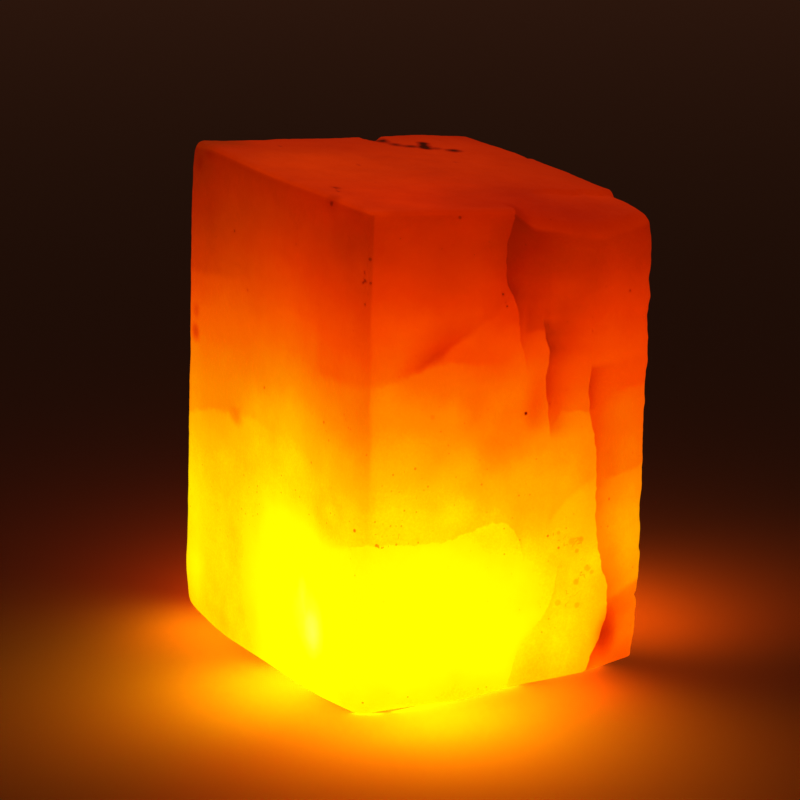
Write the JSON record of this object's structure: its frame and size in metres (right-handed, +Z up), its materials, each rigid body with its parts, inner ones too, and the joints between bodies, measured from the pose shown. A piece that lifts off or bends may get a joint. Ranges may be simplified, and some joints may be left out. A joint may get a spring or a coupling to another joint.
{
  "type": "translucent orange mineral block",
  "caption": "Upright sawn block of translucent orange mineral with a broken, ledged right side and a flat foot to stand on, glowing from its foot.",
  "frame": {"origin": "on the surface that the block stands on, under the middle of its outline", "axes": "+Z up; the wide sawn front with the ledges faces -Y, the sawn left side faces -X, the broken side faces +X"},
  "size_m": [0.0884, 0.0924, 0.1243],
  "materials": {
    "orange_stone": "satin sawn and broken mineral, milky and translucent, lit warm from inside its foot"
  },
  "bodies": {
    "root": {"stone_block": "orange_stone"}
  },
  "joints": []
}
